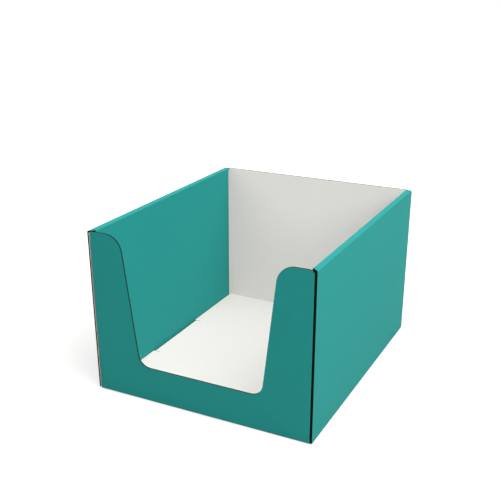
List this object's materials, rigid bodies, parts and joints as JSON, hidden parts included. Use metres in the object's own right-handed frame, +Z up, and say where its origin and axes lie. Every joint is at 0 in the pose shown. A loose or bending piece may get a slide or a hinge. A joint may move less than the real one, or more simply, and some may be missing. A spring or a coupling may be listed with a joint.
{
  "type": "cardboard display tray",
  "caption": "Open-topped counter display tray folded from one sheet of corrugated board, with double side walls and a scooped front.",
  "frame": {"origin": "centre of the underside of the base", "axes": "+Z up, +Y from the scooped front to the back wall, +X to the right as seen from the front"},
  "size_m": [0.25, 0.294, 0.18],
  "materials": {
    "board": "matt teal print on the outside, white liner inside, brown raw edges"
  },
  "bodies": {
    "root": {"display_tray": "board"}
  },
  "joints": []
}
